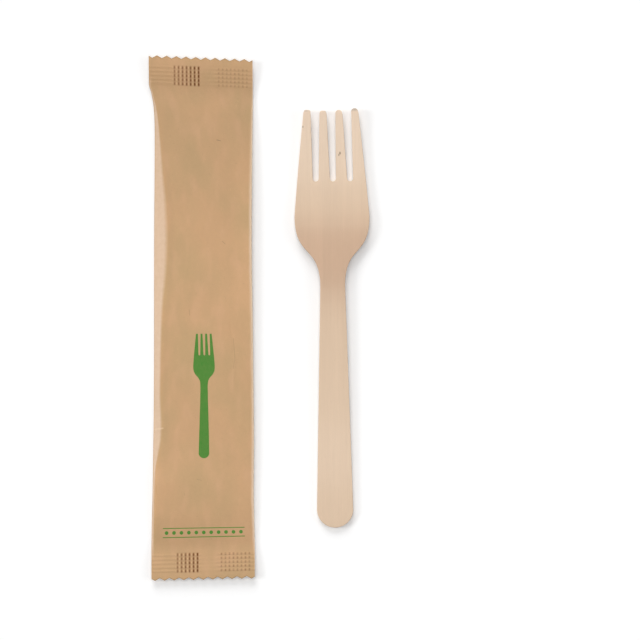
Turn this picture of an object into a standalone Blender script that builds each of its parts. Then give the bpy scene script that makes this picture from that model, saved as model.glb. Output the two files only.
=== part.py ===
"""A wooden cake fork sealed in a kraft paper sachet, and a second fork laid beside it.

Metres, +Z up. Both pieces lie on z = 0 with their length along Y, tines and top seal towards +Y.
The origin is under the middle of the box that holds them both.
In the functions below, s is a distance along a piece from its +Y end, and x is across it.
"""

import math

import bmesh
import bpy
from mathutils import Matrix

MM = 0.001

# The fork, stamped from flat veneer and pressed to shape
FORK_LENGTH = 140.0 * MM
VENEER = 1.7 * MM
EDGE_ROUND = 0.35 * MM
HEAD_WIDTH = 25.05 * MM
HEAD_LENGTH = 36.0 * MM
HEAD_FLARE = 1.3 * MM
SHOULDER_LENGTH = 23.4 * MM
SHOULDER_FULLNESS = 0.6
NECK_WIDTH = 8.3 * MM
BUTT_WIDTH = 12.1 * MM
TINE_COUNT = 4
TINE_LENGTH = 24.3 * MM
TINE_SETBACKS = (0.0, 0.5 * MM, 0.7 * MM, 0.4 * MM)
TIP_SPAN = 18.1 * MM
TIP_WIDTH = 2.25 * MM
TIP_RADIUS = 1.0 * MM
SLOT_ROOT_WIDTH = 2.0 * MM
SLOT_ROOT_SPAN = 11.5 * MM
SLOT_SHIFT = 0.45 * MM

# How the press bends it: heights of its underside over the table
BOWL_CENTRE = 30.0 * MM
TIP_RISE = 1.6 * MM
NECK_RISE = 1.4 * MM
DISH_DEPTH = 0.8 * MM

# The sachet, one folded sheet with a seal across each end and a lapped seam down its back
SACHET_LENGTH = 174.6 * MM
SACHET_WIDTH = 34.7 * MM
BODY_HEIGHT = 3.0 * MM
SEAL_LENGTH = 9.6 * MM
SEAL_THICKNESS = 0.35 * MM
SEAL_LIFT = 1.6 * MM
LIFT_RUN = 16.0 * MM
TOP_SKEW = math.radians(2.8)
BOTTOM_SKEW = math.radians(-1.1)
RIB_COUNT = 5
RIB_PITCH = 1.34 * MM
RIB_HEIGHT = 0.2 * MM
RIB_MARGIN = 2.8 * MM
TOOTH_PITCH = 3.24 * MM
TOOTH_DEPTH = 0.9 * MM
FIRST_NOTCH = 1.0 * MM
SEAM_WIDTH = 9.0 * MM
SEAM_THICKNESS = 0.3 * MM
SEAM_STEP = 0.15 * MM
FOLD_HEIGHT = 0.3 * MM

# Down the body between the seals: (share of its length, value)
FILL_CURVE = (
    (0.0, 0.0),
    (0.06, 0.42),
    (0.14, 0.76),
    (0.3, 1.0),
    (0.55, 0.8),
    (0.76, 0.7),
    (0.9, 0.56),
    (0.96, 0.36),
    (1.0, 0.0),
)
LEFT_INSET = (
    (0.0, 0.0),
    (0.02, 0.8 * MM),
    (0.05, 1.6 * MM),
    (0.1, 1.85 * MM),
    (0.33, 1.5 * MM),
    (0.65, 1.15 * MM),
    (0.87, 0.5 * MM),
    (0.95, 0.15 * MM),
    (1.0, 0.0),
)
RIGHT_INSET = (
    (0.0, 0.0),
    (0.12, 0.23 * MM),
    (0.33, 0.6 * MM),
    (0.55, 0.38 * MM),
    (0.76, 0.24 * MM),
    (0.88, 0.42 * MM),
    (1.0, 0.15 * MM),
)
LEFT_CREASE = (
    (0.0, 0.5 * MM),
    (0.06, 2.7 * MM),
    (0.17, 4.5 * MM),
    (0.29, 6.1 * MM),
    (0.38, 5.9 * MM),
    (0.5, 4.1 * MM),
    (0.66, 3.2 * MM),
    (0.74, 3.8 * MM),
    (0.84, 2.0 * MM),
    (1.0, 0.5 * MM),
)
SEAL_CREASE = 4.5 * MM
CREASE_HEIGHT = 0.88
RIGHT_HEIGHT = 0.72
RIGHT_FOLD = 0.8 * MM
RIGHT_ROUND = 0.35 * MM
RIGHT_CURL = 7.0 * MM

# How the two lie
GAP_BETWEEN = 13.9 * MM
FORK_ALONG = 0.1 * MM
SACHET_YAW = math.radians(0.31)
FORK_YAW = math.radians(0.62)

ARC_STEPS = 6
BUTT_STEPS = 16
BEVEL_STEPS = 2
SLOT_ROWS = 7
HANDLE_ROWS = 8
HEAD_ROWS = 22
BODY_ROWS = 15
TAPER_SHARES = (0.06, 0.13, 0.22, 0.34, 0.5, 0.7, 0.95)
ROW_SNAP = 0.3 * MM

COLLECTION = "wooden_cake_fork_pack"


def clear_scene():
    for obj in list(bpy.data.objects):
        bpy.data.objects.remove(obj)


def material(name, colour, roughness):
    made = bpy.data.materials.new(name)
    made.use_nodes = True
    shader = made.node_tree.nodes["Principled BSDF"]
    shader.inputs["Base Color"].default_value = (*colour, 1.0)
    shader.inputs["Roughness"].default_value = roughness
    shader.inputs["Metallic"].default_value = 0.0
    return made


def object_from(bm, name, surface, collection):
    """Closes a bmesh into a named, smooth-shaded object in the collection."""
    bmesh.ops.recalc_face_normals(bm, faces=bm.faces)
    mesh = bpy.data.meshes.new(name)
    bm.to_mesh(mesh)
    bm.free()
    mesh.shade_smooth()
    mesh.set_sharp_from_angle(angle=math.radians(35))
    mesh.materials.append(surface)
    obj = bpy.data.objects.new(name, mesh)
    collection.objects.link(obj)
    return obj


def steps(start, stop, count):
    """Evenly spaced places from start to stop, both included, with this many gaps."""
    return [start + (stop - start) * i / count for i in range(count + 1)]


def smooth(t):
    """Eases from 0 to 1 as t does."""
    t = min(max(t, 0.0), 1.0)
    return t * t * (3 - 2 * t)


def hermite(t, start, end, start_slope, end_slope):
    """A cubic from start to end with the given slopes per unit of t."""
    return (
        (2 * t**3 - 3 * t**2 + 1) * start
        + (t**3 - 2 * t**2 + t) * start_slope
        + (3 * t**2 - 2 * t**3) * end
        + (t**3 - t**2) * end_slope
    )


def curve_through(points, place):
    """The value at a place of the smooth curve through these (place, value) points, level at both ends."""
    last = len(points) - 1
    if place <= points[0][0]:
        return points[0][1]
    if place >= points[last][0]:
        return points[last][1]

    def slope(i):
        if i in (0, last):
            return 0.0
        (before, low), (after, high) = points[i - 1], points[i + 1]
        return (high - low) / (after - before)

    i = max(n for n in range(last) if points[n][0] <= place)
    (start, start_value), (end, end_value) = points[i], points[i + 1]
    run = end - start
    return hermite((place - start) / run, start_value, end_value, slope(i) * run, slope(i + 1) * run)


def bezier(t, corners):
    """A point of the cubic Bezier curve with these four corners."""
    a, b, c, d = corners
    weights = ((1 - t) ** 3, 3 * t * (1 - t) ** 2, 3 * t**2 * (1 - t), t**3)
    return tuple(sum(w * p[k] for w, p in zip(weights, (a, b, c, d))) for k in (0, 1))


# The fork


def neck_station():
    return HEAD_LENGTH + SHOULDER_LENGTH


def side_profile():
    """Half-widths down one side of the blank, as (half-width, s), from the tip's corner to the butt's round."""
    half_head, half_neck, half_butt = HEAD_WIDTH / 2, NECK_WIDTH / 2, BUTT_WIDTH / 2
    handle_length = SHOULDER_LENGTH * SHOULDER_FULLNESS
    flare = (
        (TIP_SPAN / 2, 0.0),
        (TIP_SPAN / 2 + HEAD_FLARE, HEAD_LENGTH / 3),
        (half_head - HEAD_FLARE * 0.55, HEAD_LENGTH * 0.75),
    )
    shoulder = (
        (half_head, HEAD_LENGTH),
        (half_head, HEAD_LENGTH + handle_length),
        (half_neck, neck_station() - handle_length),
        (half_neck, neck_station()),
    )
    points = [bezier(i / 12, (*flare, shoulder[0])) for i in range(1, 12)]
    points += [bezier(i / 14, shoulder) for i in range(15)]
    butt_centre = FORK_LENGTH - half_butt
    for s in steps(neck_station(), butt_centre, HANDLE_ROWS)[1:]:
        share = (s - neck_station()) / (butt_centre - neck_station())
        points.append((half_neck + (half_butt - half_neck) * share, s))
    return points


def arc(centre, radius, start_deg, stop_deg, count):
    """Points on an arc in the (x, s) plane; 0 degrees is +x and 90 degrees is towards the tips."""
    angles = [math.radians(start_deg + (stop_deg - start_deg) * i / count) for i in range(count + 1)]
    return [(centre[0] + radius * math.cos(a), centre[1] - radius * math.sin(a)) for a in angles]


def slot_edges():
    """For each slot, right to left: its mouth's edges, and its root's centre."""
    slots = TINE_COUNT - 1
    pitch = (TIP_SPAN - TIP_WIDTH) / slots
    mouth = pitch - TIP_WIDTH
    found = []
    for i in range(slots):
        place = 1 - 2 * i / max(1, slots - 1)
        centre = (slots - 1) / 2 * pitch * place
        root = place * SLOT_ROOT_SPAN / 2 + SLOT_SHIFT
        found.append((centre + mouth / 2, centre - mouth / 2, root))
    return found


def blank_outline():
    """The stamped outline as (x, s) points: up the right side, over the tips and slots, down the left side."""
    side = side_profile()
    outline = [(x, s) for x, s in reversed(side) if s > TIP_RADIUS + TINE_SETBACKS[0]]
    right = TIP_SPAN / 2
    root_radius = SLOT_ROOT_WIDTH / 2
    root_centre = TINE_LENGTH - root_radius
    ends = [*slot_edges(), (-TIP_SPAN / 2, None, None)]
    for (mouth_right, mouth_left, root), setback in zip(ends, TINE_SETBACKS):
        shoulder = TIP_RADIUS + setback
        outline += arc((right - TIP_RADIUS, shoulder), TIP_RADIUS, 0, 90, ARC_STEPS)
        outline += arc((mouth_right + TIP_RADIUS, shoulder), TIP_RADIUS, 90, 180, ARC_STEPS)
        if root is None:
            break
        inner = steps(TIP_RADIUS, root_centre, SLOT_ROWS)[1:-1]
        share = [(s - TIP_RADIUS) / (root_centre - TIP_RADIUS) for s in inner]
        outline += [(mouth_right + (root + root_radius - mouth_right) * t, s) for s, t in zip(inner, share)]
        outline += arc((root, root_centre), root_radius, 0, -180, 2 * ARC_STEPS)
        going_up = [(mouth_left + (root - root_radius - mouth_left) * t, s) for s, t in zip(inner, share)]
        outline += reversed(going_up)
        right = mouth_left
    outline += [(-x, s) for x, s in side if s > TIP_RADIUS + TINE_SETBACKS[-1]]
    butt = BUTT_WIDTH / 2
    return outline + arc((0.0, FORK_LENGTH - butt), butt, 180, 360, BUTT_STEPS)[1:-1]


def underside_height(s):
    """How high the pressed underside stands over the table on the fork's centre line."""
    neck = neck_station()
    handle_slope = -NECK_RISE / (FORK_LENGTH - neck)
    if s < BOWL_CENTRE:
        return TIP_RISE * (1 - s / BOWL_CENTRE) ** 2
    if s < neck:
        run = neck - BOWL_CENTRE
        return hermite((s - BOWL_CENTRE) / run, 0.0, NECK_RISE, 0.0, handle_slope * run)
    return NECK_RISE + handle_slope * (s - neck)


def dish(x, s):
    """How much the bowl's sides stand over its centre line."""
    depth = smooth(1 - abs(s - HEAD_LENGTH) / SHOULDER_LENGTH) if s > HEAD_LENGTH else 1 - 0.6 * (1 - s / HEAD_LENGTH)
    return DISH_DEPTH * depth * (2 * x / HEAD_WIDTH) ** 2


def build_fork(surface, collection):
    """Stamps the blank, rounds its edges, then presses it."""
    bm = bmesh.new()
    blank = bm.faces.new([bm.verts.new((x, FORK_LENGTH / 2 - s, 0.0)) for x, s in blank_outline()])
    lifted = bmesh.ops.extrude_face_region(bm, geom=[blank], use_keep_orig=True)["geom"]
    top = [part for part in lifted if isinstance(part, bmesh.types.BMVert)]
    bmesh.ops.translate(bm, verts=top, vec=(0.0, 0.0, VENEER))
    rim = [e for e in bm.edges if e.verts[0].co.z == e.verts[1].co.z]
    bmesh.ops.bevel(bm, geom=rim, offset=EDGE_ROUND, segments=BEVEL_STEPS, profile=0.5, affect="EDGES")
    head_rows = steps(2 * TIP_RADIUS, neck_station() * 1.1, HEAD_ROWS)
    for s in head_rows + steps(neck_station() * 1.1, FORK_LENGTH - BUTT_WIDTH / 2, HANDLE_ROWS)[1:]:
        whole = bm.verts[:] + bm.edges[:] + bm.faces[:]
        cut = (0.0, FORK_LENGTH / 2 - s, 0.0)
        bmesh.ops.bisect_plane(bm, geom=whole, dist=ROW_SNAP, plane_co=cut, plane_no=(0, 1, 0))
    for x in (-NECK_WIDTH / 2, 0.0, NECK_WIDTH / 2):
        whole = bm.verts[:] + bm.edges[:] + bm.faces[:]
        bmesh.ops.bisect_plane(bm, geom=whole, dist=ROW_SNAP / 3, plane_co=(x, 0, 0), plane_no=(1, 0, 0))
    for v in bm.verts:
        s = FORK_LENGTH / 2 - v.co.y
        v.co.z += underside_height(s) + dish(v.co.x, s)
    return object_from(bm, "wooden_fork", surface, collection)


# The sachet


def zigzag(x):
    """How far the knife's zigzag cuts into the top end at x: all of TOOTH_DEPTH in a notch, 0 at a point."""
    phase = ((x + SACHET_WIDTH / 2 - FIRST_NOTCH) / TOOTH_PITCH) % 1.0
    return TOOTH_DEPTH * (1 - 2 * min(phase, 1 - phase))


def columns():
    """Places across the flat sachet: its folds, every point and notch of the zigzag, and the seam's edges."""
    half = SACHET_WIDTH / 2
    count = int(2 * (SACHET_WIDTH - FIRST_NOTCH) / TOOTH_PITCH)
    teeth = [FIRST_NOTCH - half + i * TOOTH_PITCH / 2 for i in range(count + 1)]
    seam = [-SEAM_WIDTH - SEAM_STEP, -SEAM_WIDTH, 0.0, SEAM_STEP]
    clear = [x for x in teeth if all(abs(x - edge) > SEAM_STEP for edge in seam + [half])]
    return sorted([-half, *clear, *seam, half])


def cut_shift(x, s):
    """How far the skewed zigzag cuts move the sachet's rows: fully at the cuts and seals, fading into the body."""
    from_end = min(s, SACHET_LENGTH - s)
    at_top = s < SACHET_LENGTH / 2
    skew = TOP_SKEW if at_top else BOTTOM_SKEW
    held = 1 - smooth((from_end - SEAL_LENGTH) / LIFT_RUN)
    at_cut = max(0.0, 1 - from_end / (2 * TOOTH_DEPTH))
    teeth = zigzag(x) if at_top else zigzag(x) - TOOTH_DEPTH
    return x * math.tan(skew) * held + teeth * at_cut


def body_share(s):
    """Where s lies between the two end seals, from 0 to 1."""
    return min(max((s - SEAL_LENGTH) / (SACHET_LENGTH - 2 * SEAL_LENGTH), 0.0), 1.0)


def remap(x, places, targets):
    """Moves x as places move to targets, in straight runs between them."""
    for i in range(len(places) - 1):
        if x <= places[i + 1] or i == len(places) - 2:
            share = (x - places[i]) / (places[i + 1] - places[i])
            return targets[i] + (targets[i + 1] - targets[i]) * share


def rib(from_cut):
    """The crimp's ridges and furrows, by distance from the cut end."""
    across = (from_cut - RIB_MARGIN) / RIB_PITCH
    if not 0 < across < RIB_COUNT:
        return 0.0
    phase = across % 1.0
    return RIB_HEIGHT * min(phase, 1 - phase)


def seal_lift(s):
    """How far the end seals stand off the table."""
    from_end = min(s, SACHET_LENGTH - s)
    return SEAL_LIFT * (1 - smooth((from_end - SEAL_LENGTH / 8) / LIFT_RUN))


def rows():
    """Stations down the sachet: rib by rib in the seals, wider apart along the body."""
    seal = [0.0, 2 * TOOTH_DEPTH]
    seal += [RIB_MARGIN + i * RIB_PITCH / 2 for i in range(2 * RIB_COUNT + 1)]
    near = seal + [SEAL_LENGTH + LIFT_RUN * share for share in TAPER_SHARES]
    middle = steps(near[-1], SACHET_LENGTH - near[-1], BODY_ROWS)[1:-1]
    return near + middle + [SACHET_LENGTH - s for s in reversed(near)]


def folds(s):
    """The left and right folds' places across."""
    half, share = SACHET_WIDTH / 2, body_share(s)
    return -half + curve_through(LEFT_INSET, share), half - curve_through(RIGHT_INSET, share)


def eased_in(s):
    """0 at the seals, 1 over nearly all of the body."""
    share = body_share(s)
    return smooth(share / 0.08) * smooth((1 - share) / 0.08)


def fill_height(s):
    return BODY_HEIGHT * curve_through(FILL_CURVE, body_share(s))


def front_point(x, s, crease_column, round_column):
    """The front panel over flat column x: a flat facet up to the crease, a low crown, and the right-hand fold."""
    half = SACHET_WIDTH / 2
    left, right = folds(s)
    eased = eased_in(s)
    crease = crease_column + (curve_through(LEFT_CREASE, body_share(s)) - half - crease_column) * eased
    turn = round_column + (right - RIGHT_FOLD - round_column) * eased
    moved = remap(x, (-half, crease_column, round_column, half), (left, crease, turn, right))
    empty = SEAM_THICKNESS + seal_lift(s) + SEAL_THICKNESS + (FOLD_HEIGHT - SEAL_THICKNESS) * eased
    profile = remap(moved, (left, crease, turn, right), (0.0, CREASE_HEIGHT, RIGHT_HEIGHT, RIGHT_HEIGHT))
    rounded = remap(moved, (left, turn, right), (0.0, 0.0, RIGHT_ROUND * eased))
    crown = 0.0
    if crease < moved < turn:
        t = (moved - crease) / (turn - crease)
        crown = (1 - CREASE_HEIGHT) * 4 * t * (1 - t)
    return moved, empty + fill_height(s) * (profile + crown) - rounded


def back_point(x, s):
    """The back panel over flat column x: level on the table over its seam, and curling up to the right-hand fold."""
    half = SACHET_WIDTH / 2
    left, right = folds(s)
    places = (-half, -SEAM_WIDTH - SEAM_STEP, SEAM_STEP, half)
    moved = remap(x, places, (left, places[1], places[2], right))
    fold_room = FOLD_HEIGHT + fill_height(s) * RIGHT_HEIGHT - 2 * RIGHT_FOLD + RIGHT_ROUND
    curl = max(0.0, fold_room) * max(0.0, 1 - (half - x) / RIGHT_CURL) ** 2 * eased_in(s)
    under_seam = -SEAM_WIDTH <= x <= 0.0
    return moved, seal_lift(s) + curl + (0.0 if under_seam else SEAM_THICKNESS)


def build_sachet(surface, collection):
    """Skins the front and back panels over one grid of rows and columns, and closes the folds and cut ends."""
    across = columns()
    half = SACHET_WIDTH / 2
    crease_column = min(across, key=lambda x: abs(x + half - SEAL_CREASE))
    round_column = min(across[:-1], key=lambda x: abs(half - RIGHT_FOLD - x))
    bm = bmesh.new()
    front, back = [], []
    for s in rows():
        from_end = min(s, SACHET_LENGTH - s)
        wave = rib(from_end)
        front_row, back_row = [], []
        for x in across:
            y = SACHET_LENGTH / 2 - s - cut_shift(x, s)
            x_front, z_front = front_point(x, s, crease_column, round_column)
            x_back, z_back = back_point(x, s)
            front_row.append(bm.verts.new((x_front, y, z_front + wave)))
            back_row.append(bm.verts.new((x_back, y, z_back + wave)))
        front.append(front_row)
        back.append(back_row)
    last_row, last_column = len(front) - 1, len(across) - 1
    for i in range(last_row):
        for j in range(last_column):
            for panel in (front, back):
                bm.faces.new((panel[i][j], panel[i + 1][j], panel[i + 1][j + 1], panel[i][j + 1]))
        for j in (0, last_column):
            bm.faces.new((front[i][j], front[i + 1][j], back[i + 1][j], back[i][j]))
    for j in range(last_column):
        for i in (0, last_row):
            bm.faces.new((front[i][j], front[i][j + 1], back[i][j + 1], back[i][j]))
    return object_from(bm, "sealed_sachet", surface, collection)


def corners(parts):
    """Lowest and highest corners of the parts' shared box."""
    bpy.context.view_layer.update()
    points = [part.matrix_world @ v.co for part in parts for v in part.data.vertices]
    return [min(p[k] for p in points) for k in range(3)], [max(p[k] for p in points) for k in range(3)]


def lay_out(sachet, fork):
    """Sets the pair side by side on the table, with the origin under the middle of their box."""
    sachet.rotation_euler.z = SACHET_YAW
    fork.rotation_euler.z = FORK_YAW
    fork.location = (SACHET_WIDTH / 2 + GAP_BETWEEN + HEAD_WIDTH / 2, FORK_ALONG, 0.0)
    low, high = corners([sachet, fork])
    shift = Matrix.Translation((-(low[0] + high[0]) / 2, -(low[1] + high[1]) / 2, -low[2]))
    for part in (sachet, fork):
        part.location = shift @ part.location


def main():
    clear_scene()
    collection = bpy.data.collections.new(COLLECTION)
    bpy.context.scene.collection.children.link(collection)
    kraft = material("kraft_paper", (0.578, 0.366, 0.198), 0.62)
    birch = material("birch_wood", (0.730, 0.552, 0.402), 0.58)
    lay_out(build_sachet(kraft, collection), build_fork(birch, collection))


main()
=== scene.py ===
"""The looks of the wooden cake fork and its kraft paper sachet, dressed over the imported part.

Metres, in the part's own frame. In the sachet and the fork, s is the distance from the end that
points to +Y and x is across. Both are kept on every point of their meshes, in millimetres, as the
attribute "flat_place", so the print, the crimps and the grain lie in the piece and move with it.
"""

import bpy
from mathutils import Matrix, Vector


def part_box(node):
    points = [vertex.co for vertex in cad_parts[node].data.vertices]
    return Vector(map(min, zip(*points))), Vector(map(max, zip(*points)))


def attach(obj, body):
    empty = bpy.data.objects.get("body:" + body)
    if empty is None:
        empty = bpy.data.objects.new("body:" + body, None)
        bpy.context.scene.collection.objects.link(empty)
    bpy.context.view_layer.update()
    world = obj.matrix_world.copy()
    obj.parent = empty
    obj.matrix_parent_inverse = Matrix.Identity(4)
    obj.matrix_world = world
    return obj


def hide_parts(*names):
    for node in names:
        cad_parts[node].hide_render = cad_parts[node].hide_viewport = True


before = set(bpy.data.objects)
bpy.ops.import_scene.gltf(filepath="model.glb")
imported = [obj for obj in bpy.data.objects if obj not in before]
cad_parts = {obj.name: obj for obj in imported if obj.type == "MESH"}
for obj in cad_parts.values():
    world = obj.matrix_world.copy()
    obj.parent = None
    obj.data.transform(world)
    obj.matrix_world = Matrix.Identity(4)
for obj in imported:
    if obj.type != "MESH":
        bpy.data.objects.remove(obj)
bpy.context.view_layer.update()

import math

import bmesh
import bpy
import numpy as np
from mathutils import Vector

MM = 0.001
FLAT_PLACE = "flat_place"

# The sachet
SACHET_YAW = math.radians(0.31)
SACHET_LENGTH = 174.6 * MM
SACHET_WIDTH = 34.4 * MM
BODY_HEIGHT = 3.0 * MM
SEAL_LENGTH = 9.6 * MM
SEAL_THICKNESS = 0.35 * MM
SEAL_LIFT = 1.6 * MM
LIFT_START = SEAL_LENGTH / 8
LIFT_RUN = 16.0 * MM
# The share of the body's length over which the front eases out of each seal
SEAL_EASE = 0.08
TOP_SKEW = math.radians(2.8)
BOTTOM_SKEW = math.radians(-1.1)
RIB_COUNT = 5
RIB_PITCH = 1.34 * MM
TOP_RIB_HEIGHT = 0.05 * MM
BOTTOM_RIB_HEIGHT = 0.09 * MM
TOP_MARGIN = 3.13 * MM
BOTTOM_MARGIN = 2.43 * MM
TOOTH_PITCH = 3.24 * MM
TOOTH_DEPTH = 0.9 * MM
FIRST_NOTCH = 1.0 * MM
SEAM_WIDTH = 9.0 * MM
SEAM_THICKNESS = 0.3 * MM
SEAM_STEP = 0.12 * MM
SEAM_RIB_PITCH = 1.34 * MM
SEAM_RIB_HEIGHT = 0.07 * MM
# The seam's ribs that each end crimp marks: where the first starts across, and how many
TOP_RIBS = (-9.42 * MM, 7)
BOTTOM_RIBS = (-9.25 * MM, 6)
PIT_DEPTH = 0.1 * MM
# How dark the painted shade of the dots in the right half of each seal is
TOP_DOTS = 0.24
BOTTOM_DOTS = 0.42
FOLD_HEIGHT = 0.3 * MM
BACK_DROOP = 0.2 * MM
# The crimp's ribs are weaker across the plain strip between the seam and the dots
PLAIN_FROM = -1.0 * MM
PLAIN_TO = 5.0 * MM
PLAIN_FADE = 1.0 * MM
PLAIN_LOSS = 0.7

# Down the body between the seals: (share of its length, value)
FILL_CURVE = (
    (0.0, 0.0),
    (0.06, 0.42),
    (0.14, 0.76),
    (0.3, 1.0),
    (0.55, 0.8),
    (0.76, 0.7),
    (0.9, 0.56),
    (0.96, 0.36),
    (1.0, 0.0),
)
LEFT_INSET = (
    (0.0, 0.0),
    (0.02, 0.8 * MM),
    (0.05, 1.6 * MM),
    (0.1, 1.85 * MM),
    (0.33, 1.5 * MM),
    (0.65, 1.15 * MM),
    (0.87, 0.5 * MM),
    (0.95, 0.15 * MM),
    (1.0, 0.0),
)
RIGHT_INSET = (
    (0.0, 0.0),
    (0.12, 0.23 * MM),
    (0.33, 0.6 * MM),
    (0.55, 0.38 * MM),
    (0.76, 0.24 * MM),
    (0.88, 0.42 * MM),
    (1.0, 0.15 * MM),
)
LEFT_CREASE = (
    (0.0, 0.6 * MM),
    (0.06, 2.7 * MM),
    (0.17, 4.5 * MM),
    (0.29, 6.1 * MM),
    (0.38, 5.9 * MM),
    (0.5, 4.1 * MM),
    (0.66, 3.3 * MM),
    (0.74, 3.6 * MM),
    (0.79, 2.5 * MM),
    (0.83, 1.3 * MM),
    (0.87, 0.8 * MM),
    (1.0, 0.6 * MM),
)
CREASE_SOFTNESS = ((0.0, 0.2 * MM), (0.28, 0.12 * MM), (0.4, 0.55 * MM), (0.65, 0.5 * MM), (1.0, 0.3 * MM))
CROWN_SOFTNESS = 4.0 * MM
# The heights of the crease and of the right fold, as shares of the fullest
CREASE_HEIGHT = 0.88
RIGHT_HEIGHT = 0.72
FACET_LEAST = 0.4 * MM
RIGHT_FOLD = 0.8 * MM
RIGHT_CURL = 7.0 * MM

COLUMNS_A_TOOTH = 12
ROWS_A_RIB = 8
TAPER_ROW = 0.55 * MM
BODY_ROW = 1.1 * MM
RIM_STEPS = 8

# Creases and gathers fade out this near the folds. They rise over CREASE_FADE of their own length,
# and CREASE_START is how far up that rise their two ends already are.
MARK_INSET = 1.5 * MM
CREASE_FADE = 0.25
CREASE_START = 0.3
# Slight handling creases in the front: ends as (x, s), height, half-width
CREASES = (
    ((5.9 * MM, 27.2 * MM), (7.4 * MM, 28.0 * MM), 0.07 * MM, 0.3 * MM),
    ((7.0 * MM, 61.4 * MM), (8.5 * MM, 62.8 * MM), -0.05 * MM, 0.3 * MM),
    ((9.6 * MM, 88.0 * MM), (11.4 * MM, 99.0 * MM), -0.1 * MM, 0.35 * MM),
    ((11.4 * MM, 99.0 * MM), (10.6 * MM, 110.0 * MM), 0.09 * MM, 0.35 * MM),
    ((-16.4 * MM, 124.0 * MM), (-12.9 * MM, 123.4 * MM), 0.26 * MM, 0.45 * MM),
    ((12.5 * MM, 122.0 * MM), (16.5 * MM, 125.0 * MM), 0.2 * MM, 0.45 * MM),
    ((-11.0 * MM, 40.0 * MM), (-7.5 * MM, 63.0 * MM), 0.05 * MM, 1.4 * MM),
    ((-2.0 * MM, 70.0 * MM), (1.5 * MM, 84.0 * MM), 0.04 * MM, 1.6 * MM),
)
# Gathers that run out of the two seals: x at the seal, x further in, length, height. The lower
# seal's are mirrored where they are longer than MIRRORED_GATHER.
GATHERS = (
    (-13.0 * MM, -12.0 * MM, 9.0 * MM, 0.03 * MM),
    (-9.3 * MM, -8.0 * MM, 12.0 * MM, 0.05 * MM),
    (-4.6 * MM, -4.2 * MM, 7.0 * MM, -0.03 * MM),
    (0.2 * MM, 0.8 * MM, 13.0 * MM, -0.04 * MM),
    (4.4 * MM, 4.0 * MM, 8.0 * MM, 0.03 * MM),
    (9.0 * MM, 7.8 * MM, 11.0 * MM, 0.03 * MM),
    (13.4 * MM, 12.2 * MM, 9.0 * MM, 0.04 * MM),
)
GATHER_WIDTH = 0.8 * MM
MIRRORED_GATHER = 8 * MM
# Marks in the sheet, in millimetres of flat_place: both ends, half-width, depth of tone, and
# whether it is a dark fibre or a pale crease, which is a painted highlight along a crease in the front
FLECKS = (
    ((5.0, 27.7), (6.3, 28.0), 0.1, 0.7, "dark"),
    ((7.3, 61.6), (8.3, 62.5), 0.12, 0.35, "dark"),
    ((-4.8, 84.4), (-4.6, 86.2), 0.1, 0.3, "dark"),
    ((10.8, 94.0), (11.3, 99.5), 0.1, 0.3, "dark"),
    ((11.3, 99.5), (10.8, 104.0), 0.1, 0.25, "dark"),
    ((-1.9, 141.0), (-0.4, 141.4), 0.1, 0.25, "dark"),
    ((-16.9, 124.3), (-14.1, 123.9), 0.25, 0.35, "pale"),
)

# The fork
FORK_YAW = math.radians(0.62)
FORK_LENGTH = 140.0 * MM
VENEER = 1.7 * MM
EDGE_ROUND = 0.14 * MM
HEAD_WIDTH = 25.05 * MM
HEAD_LENGTH = 36.0 * MM
HEAD_FLARE = 1.3 * MM
# Where the head's side turns back in: share of the flare, share of the head's length
FLARE_RETURN = (0.55, 0.75)
SHOULDER_LENGTH = 23.4 * MM
SHOULDER_FULLNESS = 0.6
NECK_WIDTH = 8.3 * MM
BUTT_WIDTH = 12.1 * MM
TINE_COUNT = 4
TINE_LENGTH = 24.3 * MM
TINE_SETBACKS = (0.0, 0.5 * MM, 0.7 * MM, 0.4 * MM)
TIP_RADII = (1.05 * MM, 1.05 * MM, 0.75 * MM, 0.6 * MM)
TIP_SPAN = 18.1 * MM
TIP_WIDTH = 2.25 * MM
SLOT_ROOT_WIDTH = 2.0 * MM
SLOT_ROOT_SPAN = 11.5 * MM
SLOT_SHIFT = 0.45 * MM
BOWL_CENTRE = 30.0 * MM
TIP_RISE = 1.6 * MM
NECK_RISE = 1.4 * MM
DISH_DEPTH = 0.8 * MM
DISH_AT_TIPS = 0.4
FLARE_STEPS = 30
SHOULDER_STEPS = 40
HANDLE_ROW = 3.0 * MM
SLOT_ROW = 2.0 * MM
ARC_STEPS = 10
BUTT_STEPS = 40
BEVEL_STEPS = 4
FORK_ROW = 1.0 * MM
FORK_COLUMN = 1.15 * MM
CUT_MERGE = 0.05 * MM

# The print on the sachet, in millimetres of flat_place
PRINT_CENTRE = 0.35
PRINT_TOP = 92.4
PRINT_LENGTH = 41.6
PRINT_WIDTH = 7.7
# Only every eighth point of the fork's side shapes the print
PRINT_SKIP = 8
BORDER_CENTRE = 158.8
BORDER_HALF_LENGTH = 13.9
BORDER_HALF_HEIGHT = 1.5
BORDER_LINE = 0.14
BORDER_DOTS = 11
BORDER_DOT = 0.62
INK_EDGE = 0.07

# The photograph
PHOTO_PIXELS = 640
FORK_PIXELS = 418.5
PAIR_CENTRE_PIXEL = (259.15, 318.1)
CAMERA_HEIGHT = 1.6
CAMERA_REACH = 10.0
SENSOR = 36.0

# The floor and the light: what the floor reflects, what it adds to the camera's white, and the
# world's brightness as a light and in reflections
FLOOR_SIZE = 3.0
FLOOR_WHITE = 0.9
FLOOR_GLOW = 0.106
WORLD_SHARE = 0.20
MIRRORED_WORLD = 0.5
# Name, direction, share of a level white surface's brightness, spread in degrees, whether it shines
LAMPS = (
    ("overhead", (-0.06, 0.08, 1.0), 0.285, 48, False),
    ("key_far", (-0.16, 0.84, 0.52), 0.28, 36, False),
    ("strip_left", (-0.85, 0.08, 0.58), 0.17, 20, False),
    ("strip_right", (0.84, 0.0, 0.54), 0.08, 30, True),
)


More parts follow.
